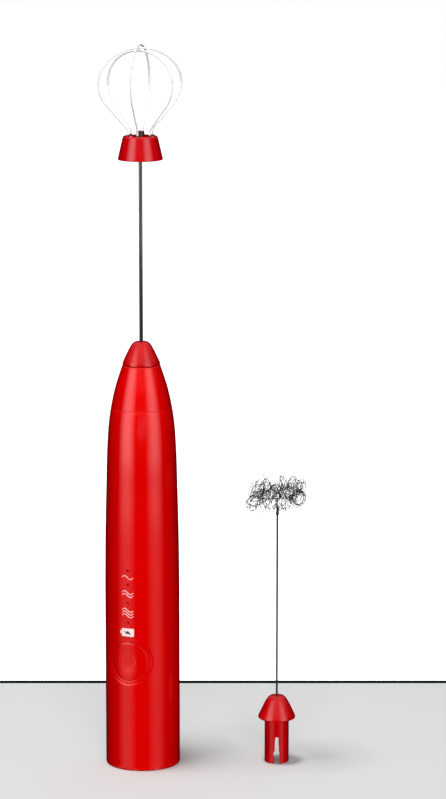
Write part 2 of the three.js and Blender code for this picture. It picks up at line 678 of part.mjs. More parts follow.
buildHandleTube();
buildBaseCap();
buildNoseCone();
buildButton();
buildLights();
buildControlBoard();
buildChargingPort();
buildChassis();
buildBattery();
buildLeads();
buildMotor();
buildDrive();
buildBalloonWhisk();
buildCoilWhisk();

export default mixer;
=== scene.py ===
# The milkshake mixer's looks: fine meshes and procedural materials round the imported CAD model, with the
# floor, the lights and the camera. Every helper takes millimetres, and a mesh is scaled to metres as it is
# made. The handle's pieces are built in the handle's own frame, where the control panel faces -Y, and are
# then turned to where the panel points.

import json
import random
from dataclasses import dataclass
from math import atan2, ceil, cos, hypot, inf, pi, radians, sin, sqrt, tan

import bpy
from mathutils import Matrix, Vector


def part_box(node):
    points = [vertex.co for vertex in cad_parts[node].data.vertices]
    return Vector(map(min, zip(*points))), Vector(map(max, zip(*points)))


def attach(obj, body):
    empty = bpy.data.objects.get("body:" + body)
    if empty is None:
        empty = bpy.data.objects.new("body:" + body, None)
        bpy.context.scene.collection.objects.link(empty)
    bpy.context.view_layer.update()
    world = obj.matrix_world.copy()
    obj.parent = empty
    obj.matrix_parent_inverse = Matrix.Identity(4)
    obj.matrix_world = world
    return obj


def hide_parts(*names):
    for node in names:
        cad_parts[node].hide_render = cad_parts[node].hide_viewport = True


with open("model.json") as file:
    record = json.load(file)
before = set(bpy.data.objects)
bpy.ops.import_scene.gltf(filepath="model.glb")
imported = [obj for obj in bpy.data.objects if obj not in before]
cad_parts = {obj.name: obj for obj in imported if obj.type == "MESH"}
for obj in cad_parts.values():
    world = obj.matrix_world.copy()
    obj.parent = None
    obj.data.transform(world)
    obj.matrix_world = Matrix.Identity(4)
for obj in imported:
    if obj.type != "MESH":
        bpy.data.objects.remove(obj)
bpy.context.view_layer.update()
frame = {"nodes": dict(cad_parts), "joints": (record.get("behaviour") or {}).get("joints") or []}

MM = 0.001
TINY = 1e-6


def low(node):
    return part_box(node)[0] / MM


def high(node):
    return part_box(node)[1] / MM


def middle(node):
    return (low(node) + high(node)) / 2


def shift(x, y, z):
    return Matrix.Translation((x * MM, y * MM, z * MM))


# ---- dimensions, in millimetres ----

GAP = 0.3
WALL = 1.3

HANDLE_RADIUS = 14.0
HANDLE_TOP = high("handle_tube").z
HANDLE_EDGE = 0.6
TAPER = [
    (14.0, 70.5), (13.75, 90.5), (13.35, 106.5), (12.95, 120.5), (12.1, 132.5), (10.05, 143.5), (7.1, 152.9),
]

SEAM = 0.04
NOSE_TOP = high("nose_cone").z + GAP - SEAM
SPIGOT_BOTTOM = low("nose_cone").z

BUTTON_Z = middle("power_button").z
BUTTON_HOLE = 7.5
BUTTON_RADIUS = BUTTON_HOLE - 0.05
BUTTON_FACE = HANDLE_RADIUS - 0.16
BUTTON_BACK = 12.0
LIGHT_NODES = ("light_low", "light_medium", "light_high", "light_charge")
LIGHT_HEIGHTS = [middle(node).z for node in LIGHT_NODES]
LIGHT_HOLE = 0.5

PORT_Z = middle("charging_socket").z
PORT_WIDTH = 8.94
PORT_HEIGHT = 3.26
PORT_MOUTH = 13.2
PORT_BACK = 6.2

PLUG_TUBE_LENGTH = 17.0
PLUG_TUBE_RADIUS = 4.6
PLUG_BORE_RADIUS = 3.2
PLUG_CAP_HEIGHT = 8.8
PLUG_SEAT = high("whisk_plug").z - PLUG_CAP_HEIGHT
PLUG_ROD_START = 0.8
DETENT_Z = middle("drive_pin").z - PLUG_SEAT

ROD_RADIUS = 0.7
BALLOON_CAP_BOTTOM = low("balloon_cap").z
BALLOON_CAP_TOP = high("balloon_cap").z
WIRE_RADIUS = 0.33
BALLOON_RADIUS = 16.0
BALLOON_MIDDLE = BALLOON_CAP_TOP + 19.2
HOOP_FOOT = 4.75
HOOP_AZIMUTHS = [79, 19, -41]
HOOP_TOPS = [high(f"whisk_hoop_{i}").z - WIRE_RADIUS for i in (1, 2, 3)]

SPARE_X = middle("spare_plug").x
SPARE_ROD_RADIUS = 0.38
RING_RADIUS = 8.6
RING_TILT = radians(5)
RING_Z = 104.0

PANEL_AXIS = next(joint["axis"] for joint in frame["joints"] if joint["name"] == "button_press")
TO_PANEL = Matrix.Rotation(-atan2(PANEL_AXIS[0], PANEL_AXIS[1]), 4, "Z")
TO_SPARE = shift(SPARE_X, 0, 0)

# ---- meshes ----


def in_scene(name, data):
    thing = bpy.data.objects.new(name, data)
    bpy.context.scene.collection.objects.link(thing)
    return thing


def new_mesh(name, points, faces, material):
    """A mesh from points in millimetres, facing outwards, shaded smooth with its corners kept sharp."""
    mesh = bpy.data.meshes.new(name)
    mesh.from_pydata([tuple(value * MM for value in point) for point in points], [], faces)
    mesh.materials.append(material)
    face_outwards(mesh)
    crisp(mesh)
    return in_scene(name, mesh)


def face_outwards(mesh):
    """Turns the faces of a closed mesh so that its volume is positive."""
    volume = 0
    mesh.calc_loop_triangles()
    for triangle in mesh.loop_triangles:
        a, b, c = (mesh.vertices[i].co for i in triangle.vertices)
        volume += a.dot(b.cross(c))
    if volume < 0:
        mesh.flip_normals()


def crisp(mesh):
    sharpest_smooth = 32
    mesh.shade_smooth()
    mesh.set_sharp_from_angle(angle=radians(sharpest_smooth))


def joined(name, pieces):
    """One piece from several meshes that share a material."""
    points = []
    faces = []
    for piece in pieces:
        start = len(points)
        points += [vertex.co / MM for vertex in piece.data.vertices]
        faces += [[start + i for i in polygon.vertices] for polygon in piece.data.polygons]
    material = pieces[0].data.materials[0]
    for piece in pieces:
        bpy.data.objects.remove(piece)
    return new_mesh(name, points, faces, material)


def band(first, second):
    """The faces between two rings of point numbers; a ring of one point is a pole."""
    count = max(len(first), len(second))
    faces = []
    for i in range(count):
        j = (i + 1) % count
        corners = [
            first[i % len(first)],
            first[j % len(first)],
            second[j % len(second)],
            second[i % len(second)],
        ]
        face = list(dict.fromkeys(corners))
        if len(face) > 2:
            faces.append(face)
    return faces


def bands(rings, closed=False):
    following = rings[1:] + rings[:1] if closed else rings[1:]
    return [face for first, second in zip(rings, following) for face in band(first, second)]


def capped(rings):
    """The faces of a tube of rings, with its two ends closed."""
    return [*bands(rings), rings[0][::-1], rings[-1]]


def bend(start, corner, end, t):
    """The point at share t of a soft bend from start to end, round a corner."""
    return start.lerp(corner, t).lerp(corner.lerp(end, t), t)


def softened(outline):
    """Rounds the corners of a closed outline. A corner is (radius, z) or (radius, z, rounding)."""
    steps = 4
    count = len(outline)
    result = []
    for i, corner in enumerate(outline):
        point = Vector(corner[:2])
        rounding = corner[2] if len(corner) > 2 else 0
        if not rounding:
            result.append(point)
            continue
        before = Vector(outline[i - 1][:2]) - point
        after = Vector(outline[(i + 1) % count][:2]) - point
        start = point + before.normalized() * min(rounding, before.length * 0.48)
        end = point + after.normalized() * min(rounding, after.length * 0.48)
        result += [bend(start, point, end, k / steps) for k in range(steps + 1)]
    return result


def turned(name, outline, material, segments):
    """A closed outline of (radius, z) corners turned round the Z axis."""
    points = []
    rings = []
    for radius, z in softened(outline):
        count = 1 if radius < TINY else segments
        rings.append([len(points) + i for i in range(count)])
        for i in range(count):
            angle = 2 * pi * i / segments
            points.append((radius * cos(angle), radius * sin(angle), z))
    return new_mesh(name, points, bands(rings, closed=True), material)


def prism(name, corners, material):
    """A prism from the corners of one end, followed by those of the other end."""
    half = len(corners) // 2
    first = list(range(half))
    second = list(range(half, 2 * half))
    return new_mesh(name, corners, capped([first, second]), material)


def swept(name, path, radius, material, sides):
    """A round wire along a list of points, with domed ends."""
    path = [Vector(point) for point in path]
    last = len(path) - 1
    tangents = [(path[min(i + 1, last)] - path[max(i - 1, 0)]).normalized() for i in range(last + 1)]
    normal = tangents[0].orthogonal().normalized()
    normals = [normal]
    for before, after in zip(tangents, tangents[1:]):
        normal = (before.rotation_difference(after) @ normal).normalized()
        normals.append(normal)
    dome = [radians(angle) for angle in (60, 30)]
    stations = [(path[0] - tangents[0] * radius * sin(a), cos(a), 0) for a in dome]
    stations += [(point, 1, i) for i, point in enumerate(path)]
    stations += [(path[-1] + tangents[-1] * radius * sin(a), cos(a), last) for a in reversed(dome)]
    points = [path[0] - tangents[0] * radius]
    rings = [[0]]
    for centre, scale, i in stations:
        rings.append([len(points) + k for k in range(sides)])
        across = normals[i]
        up = tangents[i].cross(across)
        for k in range(sides):
            angle = 2 * pi * k / sides
            points.append(centre + (across * cos(angle) + up * sin(angle)) * radius * scale)
    rings.append([len(points)])
    points.append(path[-1] + tangents[-1] * radius)
    return new_mesh(name, points, bands(rings), material)


def spline(controls):
    """A smooth line through the control points (centripetal Catmull-Rom)."""
    steps = 8
    controls = [Vector(point) for point in controls]
    ends = [controls[0] * 2 - controls[1], *controls, controls[-1] * 2 - controls[-2]]
    line = []
    for p0, p1, p2, p3 in zip(ends, ends[1:], ends[2:], ends[3:]):
        t1 = (p1 - p0).length ** 0.5
        t2 = t1 + (p2 - p1).length ** 0.5
        t3 = t2 + (p3 - p2).length ** 0.5
        for i in range(steps):
            t = t1 + (t2 - t1) * i / steps
            a1 = p0 + (p1 - p0) * (t / t1)
            a2 = p1 + (p2 - p1) * ((t - t1) / (t2 - t1))
            a3 = p2 + (p3 - p2) * ((t - t2) / (t3 - t2))
            b1 = a1 + (a2 - a1) * (t / t2)
            b2 = a2 + (a3 - a2) * ((t - t1) / (t3 - t1))
            line.append(b1 + (b2 - b1) * ((t - t1) / (t2 - t1)))
    line.append(controls[-1])
    return line


def carve(piece, *cutters):
    """Cuts the cutters out of the piece and removes them."""
    for cutter in cutters:
        modifier = piece.modifiers.new("carve", "BOOLEAN")
        modifier.operation = "DIFFERENCE"
        modifier.solver = "EXACT"
        modifier.object = cutter
    bpy.context.view_layer.update()
    evaluated = piece.evaluated_get(bpy.context.evaluated_depsgraph_get())
    carved = bpy.data.meshes.new_from_object(evaluated)
    piece.modifiers.clear()
    piece.data = carved
    for cutter in cutters:
        bpy.data.objects.remove(cutter)
    crisp(carved)


def put(piece, body, slot, *nodes, move=None):
    """Puts a piece in its place, on its body, in place of the CAD nodes that it stands for."""
    if move:
        piece.data.transform(move)
    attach(piece, body)
    if nodes:
        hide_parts(*nodes)


# ---- materials ----


def add(tree, kind, inputs=None, **settings):
    """A shader node with its settings, and its inputs set to a value or linked to a socket."""
    node = tree.nodes.new("ShaderNode" + kind)
    for name, value in settings.items():
        setattr(node, name, value)
    for name, value in (inputs or {}).items():
        if isinstance(value, bpy.types.NodeSocket):
            tree.links.new(value, node.inputs[name])
        else:
            node.inputs[name].default_value = value
    return node


def maths(tree, operation, *values):
    return add(tree, "Math", dict(enumerate(values)), operation=operation).outputs[0]


def noise(tree, size, detail, stretch=(1, 1, 1)):
    """Noise whose features are about size millimetres across, stretched along an axis by its factor."""
    place = add(tree, "TexCoord").outputs["Object"]
    scale = tuple(1 / (size * MM * factor) for factor in stretch)
    mapped = add(tree, "Mapping", {"Vector": place, "Scale": scale}).outputs["Vector"]
    return add(tree, "TexNoise", {"Vector": mapped, "Scale": 1.0, "Detail": detail}).outputs["Fac"]


def between(tree, value, lowest, highest, start=0.3, end=0.7):
    """The value's range from start to end, spread from lowest to highest."""
    inputs = {"Value": value, "From Min": start, "From Max": end, "To Min": lowest, "To Max": highest}
    return add(tree, "MapRange", inputs).outputs["Result"]


def mixed(tree, factor, first, second):
    node = add(tree, "Mix", data_type="RGBA")
    tree.links.new(factor, node.inputs[0])
    for socket, color in ((node.inputs[6], first), (node.inputs[7], second)):
        if isinstance(color, bpy.types.NodeSocket):
            tree.links.new(color, socket)
        else:
            socket.default_value = (*color, 1)
    return node.outputs[2]


def bump(tree, height, depth):
    """A bump whose full height is depth millimetres."""
    return add(tree, "Bump", {"Height": height, "Distance": depth * MM, "Strength": 1.0}).outputs["Normal"]


def new_material(name):
    material = bpy.data.materials.new(name)
    material.use_nodes = True
    tree = material.node_tree
    return material, tree, tree.nodes["Principled BSDF"]


def feed(tree, shader, **sockets):
    """Sets or links the shader's sockets; an underscore in a name stands for a space."""
    for name, value in sockets.items():
        socket = shader.inputs[name.replace("_", " ")]
        if isinstance(value, bpy.types.NodeSocket):
            tree.links.new(value, socket)
        else:
            socket.default_value = value


def lacquer(name, color, deep, metallic, roughness):
    """Satin metallic paint: fine flakes, a soft mottle, a trace of orange peel, and scuffs at the base."""
    material, tree, shader = new_material(name)
    flakes = between(tree, noise(tree, 0.12, 1), 0, 1)
    mottle = between(tree, noise(tree, 9, 3, (1, 1, 3)), 0, 0.35)
    paint = mixed(tree, mottle, color, deep)
    paint = mixed(tree, between(tree, flakes, 0, 0.25, 0, 1), paint, deep)
    height = add(tree, "SeparateXYZ", {"Vector": add(tree, "TexCoord").outputs["Object"]}).outputs["Z"]
    near_base = between(tree, height, 1, 0, 0.1 * MM, 1.3 * MM)
    scratchy = between(tree, noise(tree, 1.1, 6, (3, 3, 0.5)), 0, 1, 0.56, 0.66)
    scuffs = maths(tree, "MULTIPLY", near_base, scratchy)
    paint = mixed(tree, scuffs, paint, (0.62, 0.16, 0.13))
    gloss = between(tree, noise(tree, 5, 4), roughness - 0.03, roughness + 0.03)
    gloss = maths(tree, "MULTIPLY_ADD", gloss, scuffs, 0.15)
    peel = noise(tree, 0.5, 2)
    feed(tree, shader, Base_Color=paint, Metallic=metallic, Roughness=gloss, Specular_IOR_Level=0.0,
         Coat_Weight=1.0, Coat_Roughness=0.12, Coat_IOR=1.8, Normal=bump(tree, peel, 0.002))
    return material


def moulded(name, color, shade, roughness, grain, coat=0.0, subsurface=0.0, specular=0.5):
    """Moulded plastic: a slight cloudiness in the colour, and a fine grain in the gloss and the surface."""
    material, tree, shader = new_material(name)
    cloud = between(tree, noise(tree, 6, 3), 0, 1)
    gloss = between(tree, noise(tree, 1.5, 4), roughness - 0.04, roughness + 0.04)
    feed(tree, shader, Base_Color=mixed(tree, cloud, color, shade), Roughness=gloss, Coat_Weight=coat,
         Coat_Roughness=0.1, Coat_IOR=1.8, Specular_IOR_Level=specular, Subsurface_Weight=subsurface,
         Subsurface_Scale=1.5 * MM, Normal=bump(tree, noise(tree, 0.25, 2), grain))
    return material


def drawn_metal(name, color, shade, roughness, along=(1, 1, 14), metallic=1.0, edge=1.0):
    """Drawn or rolled metal: streaks along one axis in its colour, gloss and surface."""
    material, tree, shader = new_material(name)
    streaks = noise(tree, 0.16, 3, along)
    tarnish = between(tree, noise(tree, 7, 3), 0, 0.4)
    tone = mixed(tree, between(tree, streaks, 0, 1), color, shade)
    gloss = between(tree, streaks, roughness - 0.05, roughness + 0.08)
    feed(tree, shader, Base_Color=mixed(tree, tarnish, tone, shade), Metallic=metallic, Roughness=gloss,
         Specular_Tint=(edge, edge, edge, 1), Normal=bump(tree, streaks, 0.004))
    return material


def printed_ink(name, color, worn):
    """Pad-printed ink: thin patches where the paint below shows through."""
    material, tree, shader = new_material(name)
    thin = between(tree, noise(tree, 0.35, 4), 0, 1, 0.58, 0.75)
    feed(tree, shader, Base_Color=mixed(tree, thin, color, worn), Roughness=0.5,
         Normal=bump(tree, noise(tree, 0.1, 2), 0.004))
    return material


def board_green():
    """A circuit board: solder mask over lighter copper tracks."""
    material, tree, shader = new_material("circuit_board")
    place = add(tree, "TexCoord").outputs["Object"]
    cells = add(tree, "TexVoronoi", {"Vector": place, "Scale": 420.0}, feature="DISTANCE_TO_EDGE",
                distance="EUCLIDEAN").outputs["Distance"]
    tracks = between(tree, cells, 1, 0, 0.05, 0.09)
    feed(tree, shader, Base_Color=mixed(tree, tracks, (0.012, 0.09, 0.03), (0.05, 0.22, 0.07)),
         Roughness=between(tree, tracks, 0.5, 0.35, 0, 1), Normal=bump(tree, tracks, 0.03))
    return material


def cell_wrap():
    """Heat-shrunk sleeve on the cell: faint wrinkles round it."""
    material, tree, shader = new_material("cell_wrap")
    wrinkles = noise(tree, 1.2, 3, (4, 4, 0.5))
    tint = mixed(tree, between(tree, wrinkles, 0, 1), (0.03, 0.12, 0.36), (0.02, 0.08, 0.25))
    feed(tree, shader, Base_Color=tint, Roughness=between(tree, wrinkles, 0.28, 0.42),
         Normal=bump(tree, wrinkles, 0.06))
    return material


def guide_plastic():
    """The light guide: acrylic tinted a deep red, with a slight haze."""
    material, tree, shader = new_material("guide_plastic")
    haze = between(tree, noise(tree, 0.8, 3), 0.12, 0.28)
    tint = mixed(tree, between(tree, noise(tree, 1.5, 3), 0, 1), (0.85, 0.006, 0.006), (0.7, 0.004, 0.004))
    feed(tree, shader, Base_Color=tint, Roughness=haze, Transmission_Weight=0.25, IOR=1.49,
         Normal=bump(tree, noise(tree, 0.3, 2), 0.004))
    return material


red_satin = lacquer("red_satin_lacquer", (0.8, 0.0005, 0.0008), (0.6, 0, 0), metallic=0.12, roughness=0.5)
red_gloss = moulded("red_gloss_plastic", (0.56, 0.001, 0.004), (0.46, 0.0005, 0.002), 0.3, 0.003, coat=1.0,
                    specular=0)
bright_steel = drawn_metal("bright_steel_rod", (0.36, 0.37, 0.36), (0.2, 0.21, 0.2), 0.12, edge=0.1)
# The hoops' wire is the same steel as the rod. Its near-white, mostly diffuse colour is a painted sheen that
# stands in for the bright reflections of polished steel.
hoop_steel_painted_sheen = drawn_metal("steel_wire_painted_sheen", (0.95, 0.96, 0.96), (0.88, 0.9, 0.9), 0.35, metallic=0.25)
dark_steel = drawn_metal("spring_steel_wire", (0.3, 0.32, 0.31), (0.13, 0.15, 0.14), 0.24, edge=0.2)
plated_steel = drawn_metal("plated_steel", (0.62, 0.62, 0.6), (0.46, 0.46, 0.45), 0.28, (1, 14, 1))
brass = drawn_metal("brass", (0.62, 0.42, 0.16), (0.48, 0.31, 0.11), 0.26)
black_plastic = moulded("black_plastic", (0.012, 0.012, 0.013), (0.02, 0.02, 0.021), 0.42, 0.02)
white_plastic = moulded("white_plastic", (0.76, 0.76, 0.73), (0.68, 0.68, 0.64), 0.4, 0.01, subsurface=0.1)
red_lead = moulded("red_lead_sleeve", (0.4, 0.02, 0.015), (0.3, 0.012, 0.01), 0.4, 0.01)
black_lead = moulded("black_lead_sleeve", (0.015, 0.015, 0.017), (0.03, 0.03, 0.03), 0.4, 0.01)
seal_rubber = moulded("seal_rubber", (0.02, 0.02, 0.02), (0.035, 0.034, 0.033), 0.75, 0.03)
pale_ink = printed_ink("pale_ink", (0.9, 0.46, 0.46), (0.82, 0.2, 0.2))
white_ink = printed_ink("white_ink", (0.95, 0.74, 0.72), (0.9, 0.5, 0.48))
dark_ink = printed_ink("dark_ink", (0.02, 0.008, 0.01), (0.12, 0.02, 0.02))
ghost_ink = printed_ink("ghost_ink", (0.74, 0.03, 0.03), (0.7, 0.012, 0.012))
green_board = board_green()
blue_wrap = cell_wrap()
red_guide = guide_plastic()

# ---- the handle's outline ----


def taper_line():
    """The taper's outline as (radius, z) points, on the same smooth line as the CAD's."""
    steps = 12
    ends = [Vector(corner) for corner in (TAPER[0], *TAPER, TAPER[-1])]
    line = []
    for before, start, end, after in zip(ends, ends[1:], ends[2:], ends[3:]):
        leaving = (end - before) / 2
        arriving = (after - start) / 2
        for i in range(steps):
            t = i / steps
            line.append(
                start * (2 * t**3 - 3 * t**2 + 1)
                + leaving * (t**3 - 2 * t**2 + t)
                + end * (3 * t**2 - 2 * t**3)
                + arriving * (t**3 - t**2)
            )
    line.append(ends[-1])
    return line


TAPER_LINE = taper_line()


def handle_radius(z):
    if z <= TAPER_LINE[0].y:
        return HANDLE_RADIUS
    for lower, upper in zip(TAPER_LINE, TAPER_LINE[1:]):
        if z <= upper.y:
            return lower.lerp(upper, (z - lower.y) / (upper.y - lower.y)).x
    return TAPER_LINE[-1].x


def spaced(start, end, step):
    """Even heights from just above start up to end, about a step apart."""
    count = max(1, round((end - start) / step))
    return [start + (end - start) * (i + 1) / count for i in range(count)]


def on_cylinder(radius, across, z, facing):
    """The point of an upright cylinder that is that far across, seen straight on from the facing angle."""
    depth = sqrt(radius**2 - across**2)
    return (
        across * cos(facing) + depth * sin(facing),
        across * sin(facing) - depth * cos(facing),
        z,
    )


def circle_reach(radius):
    return lambda angle: radius


def stadium_reach(width, height):
    """How far a stadium's edge is from its centre, by angle."""
    end = (width - height) / 2
    radius = height / 2

    def reach(angle):
        cosine, sine = abs(cos(angle)), abs(sin(angle))
        flat = radius / sine if sine > TINY else inf
        if flat * cosine <= end:
            return flat
        return end * cosine + sqrt(radius**2 - (end * sine) ** 2)

    return reach


# ---- handle shell ----

COLUMNS = 144
ROW_STEP = 2.0


@dataclass
class Patch:
    """A rectangle of the shell's grid whose cells give way to rings round a hole drilled straight in.

    The reach is a function that gives the hole's size by angle. The profile lists (distance outside the
    hole's edge, depth below the surface), from the hole outwards. The blends are the rings that lead from
    there to the rectangle's edge."""

    facing: float
    z: float
    half_columns: int
    half_height: float
    row_step: float
    reach: object
    profile: list
    blends: int
    first_row: int = 0
    last_row: int = 0

    @property
    def centre_column(self):
        return round(self.facing / (2 * pi) * COLUMNS)

    def offset(self, column):
        half_way = COLUMNS // 2
        return (column - self.centre_column + half_way) % COLUMNS - half_way

    def covers_cell(self, column, row):
        return (-self.half_columns <= self.offset(column) < self.half_columns
                and self.first_row <= row < self.last_row)

    def covers_point(self, column, row):
        return (-self.half_columns < self.offset(column) < self.half_columns
                and self.first_row < row < self.last_row)

    def perimeter(self):
        """The grid's (column offset, row) corners round the patch, in order."""
        half = self.half_columns
        right = [(half, row) for row in range(self.first_row, self.last_row)]
        top = [(column, self.last_row) for column in range(half, -half, -1)]
        left = [(-half, row) for row in range(self.last_row, self.first_row, -1)]
        bottom = [(column, self.first_row) for column in range(-half, half)]
        return right + top + left + bottom


def shell_rows(patches, bottom, top):
    """The heights of the grid's rows, with each patch's own rows noted on it."""
    heights = [bottom]
    for patch in sorted(patches, key=lambda each: each.z):
        heights += spaced(heights[-1], patch.z - patch.half_height, ROW_STEP)
        patch.first_row = len(heights) - 1
        heights += spaced(heights[-1], patch.z + patch.half_height, patch.row_step)
        patch.last_row = len(heights) - 1
    return heights + spaced(heights[-1], top, ROW_STEP)


def shell_skin(points, faces, patches, heights, inset, plain):
    """One skin of the shell. Returns its lowest and highest rings, and the ring at each hole's edge."""
    step = 2 * pi / COLUMNS
    grid = {}
    for row, z in enumerate(heights):
        radius = handle_radius(z) - inset
        for column in range(COLUMNS):
            if not any(patch.covers_point(column, row) for patch in patches):
                grid[column, row] = len(points)
                points.append((radius * sin(column * step), -radius * cos(column * step), z))
    for row in range(len(heights) - 1):
        for column in range(COLUMNS):
            if not any(patch.covers_cell(column, row) for patch in patches):
                after = (column + 1) % COLUMNS
                above = row + 1
                faces.append([grid[column, row], grid[after, row], grid[after, above], grid[column, above]])
    holes = []
    for patch in patches:
        edge = patch.perimeter()
        corners = [(sin(column * step), heights[row] - patch.z, heights[row]) for column, row in edge]
        angles = [atan2(up, HANDLE_RADIUS * sine) for sine, up, _ in corners]
        outer_ring = [grid[(patch.centre_column + column) % COLUMNS, row] for column, row in edge]
        profile = [(0, 0), (0.4, 0)] if plain else patch.profile
        rings = []
        for distance, depth in profile:
            rings.append([])
            for angle in angles:
                reach = patch.reach(angle) + distance
                z = patch.z + reach * sin(angle)
                rings[-1].append(len(points))
                radius = handle_radius(z) - inset - depth
                points.append(on_cylinder(radius, reach * cos(angle), z, patch.facing))
        last_distance = profile[-1][0]
        for k in range(1, patch.blends + 1):
            t = k / (patch.blends + 1)
            rings.append([])
            for angle, (sine, up, row_z) in zip(angles, corners):
                reach = patch.reach(angle) + last_distance
                across = reach * cos(angle) * (1 - t) + (handle_radius(row_z) - inset) * sine * t
                z = patch.z + reach * sin(angle) * (1 - t) + up * t
                rings[-1].append(len(points))
                points.append(on_cylinder(handle_radius(z) - inset, across, z, patch.facing))
        faces += bands([*rings, outer_ring])
        holes.append(rings[0])
    lowest = [grid[column, 0] for column in range(COLUMNS)]
    highest = [grid[column, len(heights) - 1] for column in range(COLUMNS)]
    return lowest, highest, holes


def full_ring(points, radius, z):
    start = len(points)
    for column in range(COLUMNS):
        angle = 2 * pi * column / COLUMNS
        points.append((radius * sin(angle), -radius * cos(angle), z))
    return list(range(start, start + COLUMNS))


def quarter_round(steps):
    """The points of a quarter circle of radius 1 that leads from a wall onto a face, as (inset, drop)."""
    angles = [radians(90 * k / steps) for k in range(1, steps + 1)]
    return [(1 - cos(angle), 1 - sin(angle)) for angle in angles]


def build_handle_shell():
    dish = 0.1
    button_profile = [
        (0, dish + 0.14), (0.02, dish + 0.06), (0.07, dish + 0.015), (0.14, dish), (0.7, dish), (1.1, dish),
        (1.2, dish * 0.95), (1.32, dish * 0.76), (1.45, dish * 0.45), (1.58, dish * 0.16), (1.74, 0.012),
        (1.95, 0), (2.3, 0),
    ]
    light_profile = [(0, 0.1), (0.03, 0.04), (0.09, 0), (0.3, 0)]
    port_profile = [(0, 0.35), (0.06, 0.16), (0.18, 0.05), (0.34, 0), (0.6, 0)]
    patches = [
        Patch(0, BUTTON_Z, half_columns=20, half_height=12, row_step=0.75, blends=5,
              reach=circle_reach(BUTTON_HOLE), profile=button_profile),
        Patch(pi, PORT_Z, half_columns=11, half_height=3.6, row_step=0.6, blends=2,
              reach=stadium_reach(PORT_WIDTH + 2 * GAP, PORT_HEIGHT + 2 * GAP), profile=port_profile),
    ]
    for z in LIGHT_HEIGHTS:
        patches.append(Patch(0, z, half_columns=2, half_height=1.2, row_step=0.4, blends=1,
                             reach=circle_reach(LIGHT_HOLE), profile=light_profile))
    rim = 0.08
    heights = shell_rows(patches, HANDLE_EDGE, HANDLE_TOP - rim)
    points = []
    faces = []
    outer_low, outer_high, outer_holes = shell_skin(points, faces, patches, heights, 0, plain=False)
    inner_low, inner_high, inner_holes = shell_skin(points, faces, patches, heights, WALL, plain=True)
    for outer, inner in zip(outer_holes, inner_holes):
        faces += band(outer, inner)
    base = [full_ring(points, HANDLE_RADIUS - HANDLE_EDGE * inset, HANDLE_EDGE * drop)
            for inset, drop in quarter_round(4)]
    base.append(full_ring(points, HANDLE_RADIUS - WALL, 0))
    faces += bands([outer_low, *base, inner_low])
    top_radius = handle_radius(HANDLE_TOP)
    top = [full_ring(points, top_radius - rim * inset, HANDLE_TOP - rim * drop)
           for inset, drop in quarter_round(3)]
    top.append(full_ring(points, top_radius - WALL, HANDLE_TOP))
    faces += bands([outer_high, *top, inner_high])
    put(new_mesh("handle_shell", points, faces, red_satin), "handle", "red_handle", "handle_tube",
        move=TO_PANEL)


def build_nose_and_base():
    spigot_radius = handle_radius(HANDLE_TOP) - WALL - GAP
    socket_radius = PLUG_TUBE_RADIUS + 0.35
    web_top = SPIGOT_BOTTOM + 3
    seal_seat = 3.6
    chamber_radius = 8.2
    chamber_top = HANDLE_TOP + 1
    nose_bottom = HANDLE_TOP + SEAM
    skin = [(handle_radius(z), z) for z in [nose_bottom, *spaced(nose_bottom, NOSE_TOP, 0.9)]]
    cone = [
        (seal_seat, SPIGOT_BOTTOM), (spigot_radius, SPIGOT_BOTTOM, 0.3), (spigot_radius, nose_bottom),
        (*skin[0], 0.07), *skin[1:-1], (*skin[-1], 0.3),
        (socket_radius + 0.5, NOSE_TOP, 0.15), (socket_radius, NOSE_TOP - 0.5, 0.15),
        (socket_radius, chamber_top + 2, 0.3), (chamber_radius, chamber_top, 0.3), (chamber_radius, web_top),
        (seal_seat, web_top),
    ]
    put(turned("nose_shell", cone, red_satin, COLUMNS), "handle", "red_handle", "nose_cone")

    radius = HANDLE_RADIUS - WALL - GAP
    cap = [
        (0, 0.5), (3.4, 0.5, 0.15), (3.6, 0, 0.1), (9.6, 0, 0.1), (9.8, 0.35, 0.1), (10.4, 0.35, 0.1),
        (10.6, 0, 0.1), (radius, 0, 0.3), (radius, 8, 0.3), (11, 8, 0.3), (11, 1.8), (0, 1.8),
    ]
    put(turned("base_plug", cap, red_gloss, 96), "handle", "red_gloss", "base_cap")


# ---- button and printed marks ----


def button_dip(distance):
    """How far the button's face is hollowed, by distance from its centre."""
    return 0.22 * max(0, 1 - (distance / 6.2) ** 2) ** 2


def build_button():
    segments = 96
    edge = 0.14
    nub_radius = 1.8
    nub_end = -11.3
    distances = (0, 0.8, 1.6, 2.4, 3.2, 4, 4.8, 5.6, 6.3)
    front = [(distance, BUTTON_FACE - button_dip(distance)) for distance in distances]
    front.append((BUTTON_RADIUS - edge, BUTTON_FACE))
    front += [(BUTTON_RADIUS - edge * drop, BUTTON_FACE - edge * inset) for inset, drop in quarter_round(3)]
    back = [(BUTTON_RADIUS, BUTTON_BACK), (4.5, BUTTON_BACK), (nub_radius, BUTTON_BACK)]
    stations = [(distance, radius, None) for distance, radius in front + back]
    stations += [(nub_radius, None, nub_end), (0, None, nub_end)]
    points = []
    rings = []
    for distance, radius, flat in stations:
        count = 1 if distance < TINY else segments
        rings.append([len(points) + i for i in range(count)])
        for i in range(count):
            angle = 2 * pi * i / segments
            across = distance * cos(angle)
            y = flat if radius is None else -sqrt(radius**2 - across**2)
            points.append((across, y, BUTTON_Z + distance * sin(angle)))
    button = new_mesh("button_cap", points, bands(rings), red_satin)
    put(button, "button", "red_handle", "power_button", move=TO_PANEL)


def on_handle(across, z, lift):
    """A point of the panel: across is measured along the surface from the panel's middle line."""
    radius = handle_radius(z)
    angle = across / radius
    return ((radius + lift) * sin(angle), -(radius + lift) * cos(angle), z)


def on_button(across, z, lift):
    face = BUTTON_FACE - button_dip(hypot(across, z - BUTTON_Z)) + lift
    return (across, -sqrt(face**2 - across**2), z)


INK_BURY = -0.04
INK_LIFT = 0.03


